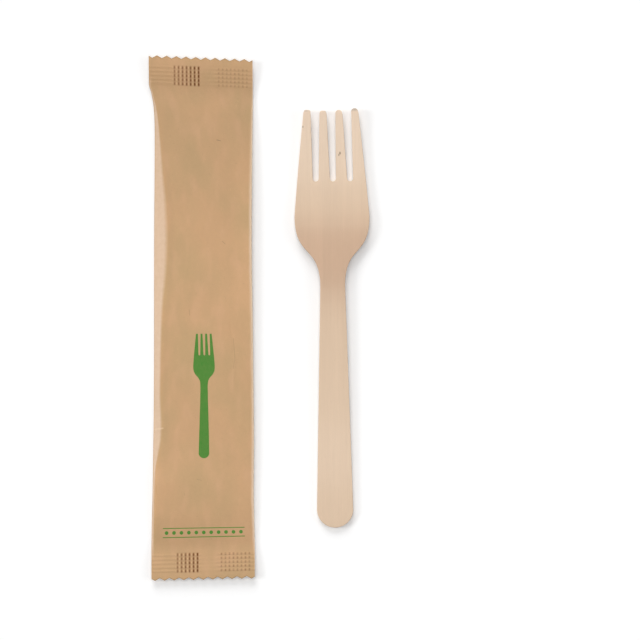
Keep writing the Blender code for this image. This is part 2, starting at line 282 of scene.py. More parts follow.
def smooth(t):
    """Eases from 0 to 1 as t does."""
    t = np.clip(t, 0.0, 1.0)
    return t * t * (3 - 2 * t)


def flowing(points, places):
    """Values at these places of the smooth curve through (place, value) points, level at both ends."""
    at, value = (np.array(column) for column in zip(*points))
    slope = np.zeros(len(at))
    slope[1:-1] = (value[2:] - value[:-2]) / (at[2:] - at[:-2])
    i = np.clip(np.searchsorted(at, places, side="right") - 1, 0, len(at) - 2)
    run = at[i + 1] - at[i]
    t = np.clip((places - at[i]) / run, 0.0, 1.0)
    return (
        (2 * t**3 - 3 * t**2 + 1) * value[i]
        + (t**3 - 2 * t**2 + t) * slope[i] * run
        + (3 * t**2 - 2 * t**3) * value[i + 1]
        + (t**3 - t**2) * slope[i + 1] * run
    )


def steps(start, stop, spacing):
    """Evenly spaced places from start to stop, both included, about this far apart."""
    return np.linspace(start, stop, max(1, round(abs(stop - start) / spacing)) + 1)


def keep_flat_place(mesh, places):
    """Stores (x, s, side) in millimetres on the mesh's points."""
    stored = mesh.attributes.new(FLAT_PLACE, "FLOAT_VECTOR", "POINT")
    stored.data.foreach_set("vector", np.asarray(places, dtype=np.float32).ravel())


def points_of(mesh):
    """The places of the mesh's points, as rows of x, y and z."""
    places = np.empty(len(mesh.vertices) * 3, dtype=np.float32)
    mesh.vertices.foreach_get("co", places)
    return places.reshape(-1, 3)


def finished_piece(name, mesh, material, node):
    """Puts a finished mesh in the scene, riding on the part, in place of its plain node."""
    mesh.shade_smooth()
    mesh.materials.append(material)
    piece = bpy.data.objects.new(name, mesh)
    bpy.context.scene.collection.objects.link(piece)
    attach(piece, "root")
    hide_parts(node)


# The sachet's shape


def body_share(s):
    """Where s lies between the two end seals, from 0 to 1."""
    return np.clip((s - SEAL_LENGTH) / (SACHET_LENGTH - 2 * SEAL_LENGTH), 0.0, 1.0)


def from_end(s):
    """The distance from the nearer end."""
    return np.minimum(s, SACHET_LENGTH - s)


def zigzag(x):
    """How far the knife's zigzag cuts into the top end at x: all of TOOTH_DEPTH in a notch, 0 at a point."""
    phase = ((x + SACHET_WIDTH / 2 - FIRST_NOTCH) / TOOTH_PITCH) % 1.0
    return TOOTH_DEPTH * (1 - 2 * np.minimum(phase, 1 - phase))


def cut_shift(x, s):
    """How far the skewed zigzag cuts move the rows: fully at the cuts and seals, less into the body."""
    at_top = s < SACHET_LENGTH / 2
    skew = np.where(at_top, TOP_SKEW, BOTTOM_SKEW)
    held = 1 - smooth((from_end(s) - SEAL_LENGTH) / LIFT_RUN)
    at_cut = np.maximum(0.0, 1 - from_end(s) / (2 * TOOTH_DEPTH))
    return x * np.tan(skew) * held + (zigzag(x) - np.where(at_top, 0.0, TOOTH_DEPTH)) * at_cut


def seal_lift(s):
    """How far the end seals stand off the table."""
    return SEAL_LIFT * (1 - smooth((from_end(s) - LIFT_START) / LIFT_RUN))


def empty_height(s):
    """How high the front would lie with nothing in the sachet."""
    share = body_share(s)
    eased = smooth(share / SEAL_EASE) * smooth((1 - share) / SEAL_EASE)
    return SEAM_THICKNESS + seal_lift(s) + SEAL_THICKNESS + (FOLD_HEIGHT - SEAL_THICKNESS) * eased


def fill_height(s):
    """How much the fork inside lifts the front at its fullest."""
    return BODY_HEIGHT * flowing(FILL_CURVE, body_share(s))


def right_fold(s):
    """The right-hand fold's top, and the radius it turns under with."""
    top = empty_height(s) + fill_height(s) * RIGHT_HEIGHT
    room = (top - SEAM_THICKNESS - seal_lift(s)) / 2
    return top, RIGHT_FOLD * (1 - np.exp(-room / RIGHT_FOLD))


def edges(s):
    """Where the front's left and right ends lie across, before the folds turn under."""
    half = SACHET_WIDTH / 2
    share = body_share(s)
    _, radius = right_fold(s)
    turned = radius - FOLD_HEIGHT / 2
    return -half + flowing(LEFT_INSET, share), half - flowing(RIGHT_INSET, share) - turned


def placed_across(x, s):
    """Where flat column x comes between the folds."""
    left, right = edges(s)
    return left + (x + SACHET_WIDTH / 2) / SACHET_WIDTH * (right - left)


def crimp_row(s):
    """How many crimp rows from the first one at the nearer end; 0 to RIB_COUNT inside a seal."""
    return (from_end(s) - np.where(s < SACHET_LENGTH / 2, TOP_MARGIN, BOTTOM_MARGIN)) / RIB_PITCH


def rib_wave(s):
    """The crimp's ridges and furrows."""
    across = crimp_row(s)
    inside = (across > 0) & (across < RIB_COUNT)
    height = np.where(s < SACHET_LENGTH / 2, TOP_RIB_HEIGHT, BOTTOM_RIB_HEIGHT)
    return np.where(inside, height * 0.5 * (1 - np.cos(2 * math.pi * across)), 0.0)


def soft_bend(x, bend, softness):
    """Zero before the bend and rising by 1 for each unit after it, with a rounded corner."""
    return softness * np.logaddexp(0.0, (x - bend) / softness)


def pillow(x, s):
    """Height of the filled front, as a share of its fullest: facet, crease, low crown, right fold."""
    share = body_share(s)
    left, right = edges(s)
    crease = np.maximum(-SACHET_WIDTH / 2 + flowing(LEFT_CREASE, share), left + FACET_LEAST)
    crown = (crease + right) / 2
    facet = CREASE_HEIGHT / (crease - left)
    rise = (1 - CREASE_HEIGHT) / (crown - crease)
    fall = (RIGHT_HEIGHT - 1) / (right - crown)
    softness = flowing(CREASE_SOFTNESS, share)

    def section(at):
        height = facet * (at - left)
        height = height + (rise - facet) * soft_bend(at, crease, softness)
        return height + (fall - rise) * soft_bend(at, crown, CROWN_SOFTNESS)

    across = (x - left) / (right - left)
    return section(x) - section(left) * (1 - across) - (section(right) - RIGHT_HEIGHT) * across


def ridge(x, s, start, end, height, width):
    """A soft straight ridge between two places, fading out at both ends."""
    run = np.subtract(end, start)
    length = math.hypot(*run)
    along = ((x - start[0]) * run[0] + (s - start[1]) * run[1]) / length**2
    aside = ((x - start[0]) * run[1] - (s - start[1]) * run[0]) / length
    faded = smooth(along / CREASE_FADE + CREASE_START) * smooth((1 - along) / CREASE_FADE + CREASE_START)
    return height * faded * np.exp(-((aside / width) ** 2))


def gathers(x, s):
    """Shallow puckers that run from each seal into the body."""
    total = np.zeros_like(x)
    for at_seal, further, length, height in GATHERS:
        for start_s, way in ((SEAL_LENGTH, 1), (SACHET_LENGTH - SEAL_LENGTH, -1)):
            mirrored = way if length > MIRRORED_GATHER else 1
            start = (at_seal * mirrored, start_s)
            end = (further * mirrored, start_s + way * length)
            total += ridge(x, s, start, end, height, GATHER_WIDTH)
    return total


def crimp_pits(x, s):
    """Depth of the pits where the end crimp presses through the ribs of the back seam."""
    at_top = s < SACHET_LENGTH / 2
    start, count = (np.where(at_top, top, bottom) for top, bottom in zip(TOP_RIBS, BOTTOM_RIBS))
    rib = (x - start) / SEAM_RIB_PITCH
    row = crimp_row(s)
    inside = (rib > 0) & (rib < count) & (row > 0) & (row < RIB_COUNT)
    across = 0.5 - 0.5 * np.cos(2 * math.pi * rib)
    down = 0.75 - 0.25 * np.cos(2 * math.pi * row)
    return PIT_DEPTH * np.where(inside, across**2 * down, 0.0)


def front_height(x, flat_x, s):
    """The front panel: filled body, crimped seals, gathers and handling creases."""
    inset = smooth((SACHET_WIDTH / 2 - abs(flat_x)) / MARK_INSET)
    marks = gathers(flat_x, s)
    for start, end, height, width in CREASES:
        marks = marks + ridge(flat_x, s, start, end, height, width)
    filled = empty_height(s) + fill_height(s) * pillow(x, s)
    plain = smooth((flat_x - PLAIN_FROM) / PLAIN_FADE) * smooth((PLAIN_TO - flat_x) / PLAIN_FADE)
    ribs = rib_wave(s) * (1 - PLAIN_LOSS * plain)
    return filled + ribs + marks * inset - crimp_pits(flat_x, s)


def back_height(flat_x, s):
    """The back panel: the ribbed, folded seam lies under it, and it curls up to the right fold."""
    from_left = smooth((flat_x + SEAM_WIDTH + SEAM_STEP) / SEAM_STEP)
    into_seam = from_left * smooth((SEAM_STEP - flat_x) / SEAM_STEP)
    ribs = SEAM_RIB_HEIGHT * (0.5 - 0.5 * np.cos(2 * math.pi * (flat_x + SEAM_WIDTH) / SEAM_RIB_PITCH))
    aside = np.maximum(flat_x, -SEAM_WIDTH - flat_x) / (SACHET_WIDTH / 2)
    panel = SEAM_THICKNESS - BACK_DROOP * smooth(aside) * smooth(from_end(s) / SEAL_LENGTH - 1)
    level = seal_lift(s) + panel * (1 - into_seam) + ribs * into_seam
    top, radius = right_fold(s)
    curl = smooth(1 - (SACHET_WIDTH / 2 - flat_x) / RIGHT_CURL)
    return rib_wave(s) + level * (1 - curl) + (top - 2 * radius) * curl


def flat_columns():
    """Places across the flat sachet, with one on every point and notch of the zigzag and each seam edge."""
    half = SACHET_WIDTH / 2
    spacing = TOOTH_PITCH / COLUMNS_A_TOOTH
    regular = FIRST_NOTCH - half + spacing * np.arange(-COLUMNS_A_TOOTH, SACHET_WIDTH / spacing)
    seam = np.array([-SEAM_WIDTH - SEAM_STEP, -SEAM_WIDTH, 0.0, SEAM_STEP])
    clear = np.min(np.abs(regular[:, None] - seam[None, :]), axis=1) > SEAM_STEP / 2
    inside = abs(regular) < half - spacing / 3
    return np.unique(np.concatenate([[-half], regular[clear & inside], seam, [half]]))


def flat_rows():
    """Stations down the sachet: rib by rib in the seals, wider apart along the body."""
    seal = steps(0.0, SEAL_LENGTH, RIB_PITCH / ROWS_A_RIB)
    taper = steps(SEAL_LENGTH, SEAL_LENGTH + LIFT_RUN, TAPER_ROW)
    body = steps(SEAL_LENGTH + LIFT_RUN, SACHET_LENGTH - SEAL_LENGTH - LIFT_RUN, BODY_ROW)
    near = np.concatenate([seal[:-1], taper[:-1]])
    return np.concatenate([near, body, SACHET_LENGTH - near[::-1]])


def sachet_mesh():
    """One closed skin of loops: over the front, round the right fold, under the back, round the left."""
    columns, rows = flat_columns(), flat_rows()
    flat_x, s = np.meshgrid(columns, rows)
    x = placed_across(flat_x, s)
    y = SACHET_LENGTH / 2 - s - cut_shift(flat_x, s)
    front = np.stack([x, y, front_height(x, flat_x, s)], axis=-1)
    back = np.stack([x, y, back_height(flat_x, s)], axis=-1)

    def rim(upper, lower, way):
        """The rounded fold between the front's and the back's last columns."""
        turn = np.linspace(0, math.pi, RIM_STEPS + 1)[1:-1]
        middle, radius = (upper + lower) / 2, (upper[:, 2] - lower[:, 2]) / 2
        bulge = way * np.outer(radius, np.sin(turn))
        points = np.repeat(middle[:, None, :], len(turn), axis=1)
        points[:, :, 0] += bulge
        points[:, :, 2] += np.outer(radius, np.cos(turn))
        return points

    right = rim(front[:, -1], back[:, -1], 1)
    left = rim(front[:, 0], back[:, 0], -1)[:, ::-1]
    loops = np.concatenate([front, right, back[:, ::-1], left], axis=1)
    half = SACHET_WIDTH / 2
    turn_x = half + RIGHT_FOLD * np.linspace(0, math.pi, RIM_STEPS + 1)[1:-1]
    edge_x = np.concatenate([columns, turn_x, columns[::-1], -turn_x[::-1]])
    count, around = loops.shape[:2]
    side = np.repeat([0.0, 1.0], around // 2)
    faces = []
    for i in range(count - 1):
        for j in range(around):
            k = (j + 1) % around
            faces.append((i * around + j, (i + 1) * around + j, (i + 1) * around + k, i * around + k))
    # Each end is closed by faces from the front's columns to the back's, and one for each round fold
    across = len(columns)
    for i in (0, count - 1):
        row = i * around
        under = [row + across + RIM_STEPS - 1 + (across - 1 - j) for j in range(across)]
        caps = [(row + j, row + j + 1, under[j + 1], under[j]) for j in range(across - 1)]
        caps.append([row + across - 1 + n for n in range(RIM_STEPS + 1)])
        caps.append([row + (around - RIM_STEPS + n) % around for n in range(RIM_STEPS + 1)])
        faces += [tuple(cap) if i == 0 else tuple(reversed(cap)) for cap in caps]
    mesh = bpy.data.meshes.new("paper_sachet")
    mesh.from_pydata(loops.reshape(-1, 3).tolist(), [], faces)
    places = [np.tile(edge_x, count) / MM, np.repeat(rows, around) / MM, np.tile(side, count)]
    keep_flat_place(mesh, np.stack(places, axis=-1))
    return turned_outward(mesh)


def turned_outward(mesh):
    """Turns every face outward."""
    bm = bmesh.new()
    bm.from_mesh(mesh)
    bmesh.ops.recalc_face_normals(bm, faces=bm.faces)
    bm.to_mesh(mesh)
    bm.free()
    return mesh


# The fork's shape


def neck_station():
    """Where the shoulder ends in the neck."""
    return HEAD_LENGTH + SHOULDER_LENGTH


def bezier(t, corners):
    """A point of the cubic Bezier curve with these four corners."""
    a, b, c, d = corners
    weights = ((1 - t) ** 3, 3 * t * (1 - t) ** 2, 3 * t**2 * (1 - t), t**3)
    return tuple(sum(w * p[k] for w, p in zip(weights, (a, b, c, d))) for k in (0, 1))


def side_profile():
    """One side of the blank as (half-width, s) points, from the tip's corner to the butt's round."""
    half_head, half_neck, half_butt = HEAD_WIDTH / 2, NECK_WIDTH / 2, BUTT_WIDTH / 2
    handle_length = SHOULDER_LENGTH * SHOULDER_FULLNESS
    returned, returned_at = FLARE_RETURN
    flare = (
        (TIP_SPAN / 2, 0.0),
        (TIP_SPAN / 2 + HEAD_FLARE, HEAD_LENGTH / 3),
        (half_head - HEAD_FLARE * returned, HEAD_LENGTH * returned_at),
    )
    shoulder = (
        (half_head, HEAD_LENGTH),
        (half_head, HEAD_LENGTH + handle_length),
        (half_neck, neck_station() - handle_length),
        (half_neck, neck_station()),
    )
    points = [bezier(i / FLARE_STEPS, (*flare, shoulder[0])) for i in range(1, FLARE_STEPS)]
    points += [bezier(i / SHOULDER_STEPS, shoulder) for i in range(SHOULDER_STEPS + 1)]
    butt_centre = FORK_LENGTH - half_butt
    for s in steps(neck_station(), butt_centre, HANDLE_ROW)[1:]:
        share = (s - neck_station()) / (butt_centre - neck_station())
        points.append((half_neck + (half_butt - half_neck) * share, s))
    return points


def arc(centre, radius, start_deg, stop_deg, count):
    """Points on an arc in the (x, s) plane; 0 degrees is +x and 90 degrees is towards the tips."""
    angles = [math.radians(start_deg + (stop_deg - start_deg) * i / count) for i in range(count + 1)]
    return [(centre[0] + radius * math.cos(a), centre[1] - radius * math.sin(a)) for a in angles]


def slot_edges():
    """For each slot, right to left: its mouth's edges, and its root's centre."""
    slots = TINE_COUNT - 1
    pitch = (TIP_SPAN - TIP_WIDTH) / slots
    mouth = pitch - TIP_WIDTH
    found = []
    for i in range(slots):
        place = 1 - 2 * i / max(1, slots - 1)
        centre = (slots - 1) / 2 * pitch * place
        found.append((centre + mouth / 2, centre - mouth / 2, place * SLOT_ROOT_SPAN / 2 + SLOT_SHIFT))
    return found


def blank_outline():
    """The stamped outline as (x, s) points: up the right side, over tips and slots, down the left."""
    side = side_profile()
    outline = [(x, s) for x, s in reversed(side) if s > TIP_RADII[0] + TINE_SETBACKS[0]]
    right = TIP_SPAN / 2
    root_radius = SLOT_ROOT_WIDTH / 2
    root_centre = TINE_LENGTH - root_radius
    ends = [*slot_edges(), (-TIP_SPAN / 2, None, None)]
    for (mouth_right, mouth_left, root), setback, radius in zip(ends, TINE_SETBACKS, TIP_RADII):
        outline += arc((right - radius, radius + setback), radius, 0, 90, ARC_STEPS)
        outline += arc((mouth_right + radius, radius + setback), radius, 90, 180, ARC_STEPS)
        if root is None:
            break
        inner = steps(0.0, root_centre, SLOT_ROW)[1:-1]
        share = [s / root_centre for s in inner]
        outline += [(mouth_right + (root + root_radius - mouth_right) * t, s) for s, t in zip(inner, share)]
        outline += arc((root, root_centre), root_radius, 0, -180, 2 * ARC_STEPS)
        going_up = [(mouth_left + (root - root_radius - mouth_left) * t, s) for s, t in zip(inner, share)]
        outline += reversed(going_up)
        right = mouth_left
    outline += [(-x, s) for x, s in side if s > TIP_RADII[-1] + TINE_SETBACKS[-1]]
    butt = BUTT_WIDTH / 2
    return outline + arc((0.0, FORK_LENGTH - butt), butt, 180, 360, BUTT_STEPS)[1:-1]


def underside_height(s):
    """How high the pressed underside stands over the table on the fork's centre line."""
    neck = neck_station()
    handle_slope = -NECK_RISE / (FORK_LENGTH - neck)
    tines = TIP_RISE * np.maximum(0.0, 1 - s / BOWL_CENTRE) ** 2
    run = neck - BOWL_CENTRE
    t = np.clip((s - BOWL_CENTRE) / run, 0.0, 1.0)
    shoulder = (3 * t**2 - 2 * t**3) * NECK_RISE + (t**3 - t**2) * handle_slope * run
    return tines + shoulder + handle_slope * np.maximum(0.0, s - neck)


def dish(x, s):
    """How much the bowl's sides stand over its centre line."""
    past = smooth(1 - abs(s - HEAD_LENGTH) / SHOULDER_LENGTH)
    depth = np.where(s > HEAD_LENGTH, past, 1 - (1 - DISH_AT_TIPS) * (1 - s / HEAD_LENGTH))
    return DISH_DEPTH * depth * (2 * x / HEAD_WIDTH) ** 2


def fork_mesh():
    """Stamps the blank, rounds its edges, then presses it."""
    bm = bmesh.new()
    blank = bm.faces.new([bm.verts.new((x, FORK_LENGTH / 2 - s, 0.0)) for x, s in blank_outline()])
    lifted = bmesh.ops.extrude_face_region(bm, geom=[blank], use_keep_orig=True)["geom"]
    top = [part for part in lifted if isinstance(part, bmesh.types.BMVert)]
    bmesh.ops.translate(bm, verts=top, vec=(0.0, 0.0, VENEER))
    rim = [e for e in bm.edges if e.verts[0].co.z == e.verts[1].co.z]
    bmesh.ops.bevel(bm, geom=rim, offset=EDGE_ROUND, segments=BEVEL_STEPS, profile=0.5, affect="EDGES")
    cuts = [((0.0, FORK_LENGTH / 2 - s, 0.0), (0, 1, 0)) for s in steps(0.0, FORK_LENGTH, FORK_ROW)[1:-1]]
    cuts += [((x, 0.0, 0.0), (1, 0, 0)) for x in steps(-HEAD_WIDTH / 2, HEAD_WIDTH / 2, FORK_COLUMN)[1:-1]]
    for point, across in cuts:
        whole = bm.verts[:] + bm.edges[:] + bm.faces[:]
        bmesh.ops.bisect_plane(bm, geom=whole, dist=CUT_MERGE, plane_co=point, plane_no=across)
    bmesh.ops.recalc_face_normals(bm, faces=bm.faces)
    mesh = bpy.data.meshes.new("birch_fork")
    bm.to_mesh(mesh)
    bm.free()
    co = points_of(mesh)
    x, s = co[:, 0].copy(), FORK_LENGTH / 2 - co[:, 1]
    keep_flat_place(mesh, np.stack([x, s, co[:, 2]], axis=-1) / MM)
    co[:, 2] += underside_height(s) + dish(x, s)
    mesh.vertices.foreach_set("co", co.ravel())
    return mesh


def turned_into_place(mesh, yaw, centre):
    """Turns a mesh about Z and sets the middle of its box over centre, still on the table."""
    co = points_of(mesh)
    turn = np.array([[math.cos(yaw), math.sin(yaw)], [-math.sin(yaw), math.cos(yaw)]])
    co[:, :2] = co[:, :2] @ turn
    middle = (co[:, :2].min(axis=0) + co[:, :2].max(axis=0)) / 2
    co[:, :2] += np.array(centre[:2]) - middle
    mesh.vertices.foreach_set("co", co.ravel())
    mesh.update()


# Surfaces


class Field:
    """A number that shader nodes work out at every point of a surface."""

    def __init__(self, tree, socket):
        self.tree, self.socket = tree, socket

    def _math(self, operation, *others, clamp=False):
        node = self.tree.nodes.new("ShaderNodeMath")
        node.operation = operation
        node.use_clamp = clamp
        for entry, value in zip(node.inputs, (self, *others)):
            if isinstance(value, Field):
                self.tree.links.new(value.socket, entry)
            else:
                entry.default_value = value
        return Field(self.tree, node.outputs[0])

    def __add__(self, other):
        return self._math("ADD", other)

    def __sub__(self, other):
        return self._math("SUBTRACT", other)

    def __mul__(self, other):
        return self._math("MULTIPLY", other)

    def __truediv__(self, other):
        return self._math("DIVIDE", other)

    def __pow__(self, other):
        return self._math("POWER", other)

    def abs(self):
        return self._math("ABSOLUTE")

    def sqrt(self):
        return self._math("SQRT")

    def fract(self):
        return self._math("FRACT")

    def at_least(self, other):
        return self._math("MAXIMUM", other)

    def at_most(self, other):
        return self._math("MINIMUM", other)

    def within(self, limit, edge):
        """1 where this is well under limit, 0 well over it, softened over edge."""
        return ((self * -1 + limit) / edge + 0.5)._math("MULTIPLY", 1.0, clamp=True)

    def between(self, low, high, edge):
        """1 between low and high, 0 elsewhere, softened over edge."""
        return (self - (low + high) / 2).abs().within((high - low) / 2, edge)

    def inverted(self):
        return self * -1 + 1.0


def join(tree, *parts):
    """A vector from three numbers or fields."""
    node = tree.nodes.new("ShaderNodeCombineXYZ")
    for entry, part in zip(node.inputs, parts):
        if isinstance(part, Field):
            tree.links.new(part.socket, entry)
        else:
            entry.default_value = part
    return node.outputs[0]


def flat_place(tree):
    """The fields x, s and side, in millimetres."""
    stored = tree.nodes.new("ShaderNodeAttribute")
    stored.attribute_type = "GEOMETRY"
    stored.attribute_name = FLAT_PLACE
    apart = tree.nodes.new("ShaderNodeSeparateXYZ")
    tree.links.new(stored.outputs["Vector"], apart.inputs[0])
    return [Field(tree, socket) for socket in apart.outputs]


def noise(tree, place, detail, roughness):
    """Noise from about -1 to 1, one feature to each unit of place."""
    node = tree.nodes.new("ShaderNodeTexNoise")
    node.inputs["Scale"].default_value = 1.0
    node.inputs["Detail"].default_value = detail
    node.inputs["Roughness"].default_value = roughness
    tree.links.new(place, node.inputs["Vector"])
    return (Field(tree, node.outputs[0]) - 0.5) * 2.0


def grain(tree, x, s, layer, kind):
    """Noise of one kind over the flat piece; another layer gives another pattern."""
    across, down, detail, roughness = kind
    return noise(tree, join(tree, x * across, s * down, layer), detail, roughness)


def curve_field(tree, at, points, at_range, value_range):
    """A field read from a smooth curve through (place, value) points."""
    node = tree.nodes.new("ShaderNodeFloatCurve")
    curve = node.mapping.curves[0]
    scaled = [(place / at_range, value / value_range) for place, value in points]
    for i, (place, value) in enumerate(scaled):
        if i < 2:
            curve.points[i].location = (place, value)
        else:
            curve.points.new(place, value)
    node.mapping.update()
    tree.links.new((at / at_range).socket, node.inputs["Value"])
    return Field(tree, node.outputs[0]) * value_range


def tinted(tree, base, tint, amount):
    """base mixed towards tint by a field; each is a colour or a colour socket."""
    node = tree.nodes.new("ShaderNodeMix")
    node.data_type = "RGBA"
    tree.links.new(amount.socket, node.inputs["Factor"])
    for name, colour in (("A", base), ("B", tint)):
        entry = [i for i in node.inputs if i.name == name and i.type == "RGBA"][0]
        if isinstance(colour, tuple):
            entry.default_value = (*colour, 1.0)
        else:
            tree.links.new(colour, entry)
    return [o for o in node.outputs if o.type == "RGBA"][0]


def shaded(tree, colour, amount):
    """colour made lighter or darker by a field: 1 leaves it alone."""
    node = tree.nodes.new("ShaderNodeVectorMath")
    node.operation = "SCALE"
    tree.links.new(colour, node.inputs[0])
    tree.links.new(amount.socket, node.inputs["Scale"])
    return node.outputs[0]


def bumped(tree, shader, height, depth_mm):
    """Gives the shader a bump from a height field."""
    node = tree.nodes.new("ShaderNodeBump")
    node.inputs["Distance"].default_value = depth_mm * MM
    tree.links.new(height.socket, node.inputs["Height"])
    tree.links.new(node.outputs[0], shader.inputs["Normal"])


def new_material(name):
    """A node material, its tree and its shader."""
    material = bpy.data.materials.new(name)
    material.use_nodes = True
    return material, material.node_tree, material.node_tree.nodes["Principled BSDF"]


def srgb(red, green, blue):
    """A colour as seen on screen, turned into the linear values that shaders take."""
    channels = (value / 255 for value in (red, green, blue))
    return tuple(v / 12.92 if v <= 0.04045 else ((v + 0.055) / 1.055) ** 2.4 for v in channels)


# Painted shade down the sheet: darker towards both ends, where it slopes to the seals, and a little lighter
# in its middle; by distance from the top end in millimetres
LENGTH_SHADING = (
    (0.0, 0.98),
    (12.0, 0.915),
    (18.0, 0.9),
    (28.0, 0.915),
    (50.0, 0.97),
    (68.0, 1.02),
    (120.0, 1.0),
    (148.0, 1.0),
    (163.0, 0.93),
    (174.6, 0.98),
)
# How strong the painted sheen on the left facet and the painted highlight along the right-hand fold are, by
# the same distance
LEFT_FACET_SHEEN = (
    (0.0, 0.8),
    (42.0, 0.95),
    (56.0, 1.04),
    (72.0, 1.04),
    (88.0, 1.1),
    (120.0, 1.08),
    (174.6, 0.95),
)
RIGHT_FOLD_SHEEN = (
    (0.0, 0.2),
    (25.0, 0.35),
    (50.0, 0.85),
    (60.0, 0.95),
    (90.0, 0.6),
    (130.0, 0.75),
    (150.0, 1.0),
    (174.6, 0.9),
)
KRAFT = srgb(200, 159, 117)
KRAFT_LIGHT = srgb(216, 176, 133)
KRAFT_OLIVE = srgb(188, 155, 112)
KRAFT_ROSY = srgb(211, 167, 130)
KRAFT_SHEEN = srgb(225, 197, 171)
KRAFT_HIGHLIGHT = srgb(240, 214, 182)
KRAFT_SHADE = srgb(120, 104, 72)
KRAFT_DARK = srgb(104, 58, 8)
INK = srgb(63, 128, 38)
# Noise in the sheet: features to a millimetre across and down, detail, roughness
CLOUDS = (0.09, 0.07, 4.0, 0.5)
MOTTLE = (0.8, 0.7, 4.0, 0.6)
FIBRES_DOWN = (5.0, 0.6, 2.0, 0.5)
FIBRES_ACROSS = (0.7, 6.0, 2.0, 0.5)
OLIVE_PATCHES = (0.05, 0.045, 2.0, 0.5)
SMALL_PATCHES = (0.26, 0.11, 1.5, 0.45)
CRUMPLE = (0.5, 0.22, 3.0, 0.5)
CRIMP_PRESSURE = (0.8, 1.1, 2.0, 0.7)
SIDES_APART = 40.0
# In millimetres: where the crimp's dots lie across, how far from the facet the painted shade beside its
# crease lies and how far from both seals that starts, and where painted light brightens the right-hand fold
DOTS_FROM, DOTS_TO = 5.3, 16.3
BESIDE_FACET = 1.3
FACET_SHADE_FROM, FACET_SHADE_TO = 25.0, 50.0
NEAR_FOLD = 13.0
NEAR_FOLD_FROM, NEAR_FOLD_TO = 38.0, 92.0
WIDEST_FACET = 10.0

# How pale the veneer is, as painted sheen on the tines and paler wood down the handle, and the painted shade
# on the shoulder and neck, by distance from the tips in millimetres
PALE_TONE_AND_SHEEN = (
    (0.0, 1.0),
    (18.0, 0.75),
    (30.0, 0.2),
    (42.0, 0.0),
    (98.0, 0.1),
    (116.0, 0.4),
    (132.0, 0.1),
    (140.0, 0.05),
)
SHOULDER_SHADE = ((0.0, 0.0), (24.0, 0.05), (38.0, 0.5), (50.0, 1.0), (62.0, 0.55), (78.0, 0.1), (140.0, 0.08))
BIRCH = srgb(219, 193, 166)
BIRCH_PALE_SHEEN = srgb(234, 210, 186)
BIRCH_SHADED = srgb(200, 168, 141)
BIRCH_STREAK = srgb(196, 164, 132)
SPECK = srgb(120, 92, 66)
SCORCH = srgb(150, 140, 128)
# Noise in the wood, as in the sheet
WANDER = (0.05, 0.02, 1.0, 0.5)
BROAD_GRAIN = (0.4, 0.012, 3.0, 0.5)
FINE_GRAIN = (3.2, 0.05, 3.0, 0.65)
HAIR_GRAIN = (9.0, 0.25, 2.0, 0.5)
PORES = (2.6, 0.33, 1.0, 0.5)
PORES_LAYER = 7.0
# Specks in the face, in millimetres: x, s, size, depth of tone
SPECKS = (
    (2.9, 14.9, 0.26, 0.75),
    (2.5, 15.5, 0.2, 0.6),
    (-9.4, 6.0, 0.2, 0.6),
    (4.6, 66.0, 0.2, 0.35),
)
# The tips that the cutter scorched, as x from and to
SCORCHED_TIPS = ((-9.5, -7.6), (6.4, 9.0))
# The paler band down the left of the bowl: its right-hand side, and where it starts and ends
BAND_SIDE = -3.3
BAND_FROM, BAND_TO = 26.0, 58.0


def printed_fork(tree, x, s):
    """Where the pictogram is inked: the real fork's outline drawn small, in the fork's own millimetres."""
    across = (x - PRINT_CENTRE) * (HEAD_WIDTH / MM / PRINT_WIDTH)
    down = (s - PRINT_TOP) * (FORK_LENGTH / MM / PRINT_LENGTH)
    length, butt = FORK_LENGTH / MM, BUTT_WIDTH / MM / 2
    profile = [(0.0, TIP_SPAN / MM / 2)]
    profile += [(at / MM, width / MM) for width, at in side_profile()[::PRINT_SKIP]]
    profile.append((length, butt))
    edge = INK_EDGE * length / PRINT_LENGTH

    def rounded_off(width, radius, centre):
        """Narrows a half-width to a half circle past its centre."""
        past = (down - centre).at_least(0.0)
        circle = (past**2.0 * -1 + radius**2).at_least(0.0).sqrt()
        return width.at_most(circle + down.within(centre, edge) * length)

    width = curve_field(tree, down, profile, length, HEAD_WIDTH / MM)
    inked = (across.abs() - rounded_off(width, butt, length - butt)).within(0.0, edge)
    root_radius, root_centre = SLOT_ROOT_WIDTH / MM / 2, (TINE_LENGTH - SLOT_ROOT_WIDTH / 2) / MM
    for mouth_right, mouth_left, root in slot_edges():
        mouth_centre, mouth_half = (mouth_right + mouth_left) / 2 / MM, (mouth_right - mouth_left) / 2 / MM
        centre = down * ((root / MM - mouth_centre) / root_centre) + mouth_centre
        tapering = down * ((root_radius - mouth_half) / root_centre) + mouth_half
        half = rounded_off(tapering, root_radius, root_centre)
        slot = ((across - centre).abs() - half).within(0.0, edge) * down.within(TINE_LENGTH / MM, edge)
        inked = inked * slot.inverted()
    return inked * down.between(0.0, length, edge)


def printed_border(x, s):
    """A plain ornament: a row of dots between two thin lines."""
    along = (x - PRINT_CENTRE).abs().within(BORDER_HALF_LENGTH, INK_EDGE)
    up = s - BORDER_CENTRE
    lines = (up.abs() - BORDER_HALF_HEIGHT).abs().within(BORDER_LINE, INK_EDGE)
    pitch = 2 * BORDER_HALF_LENGTH / BORDER_DOTS
    nearest = (((x - PRINT_CENTRE + BORDER_HALF_LENGTH) / pitch).fract() - 0.5) * pitch
    dots = (nearest**2.0 + up**2.0).sqrt().within(BORDER_DOT, INK_EDGE)
    return lines.at_least(dots) * along


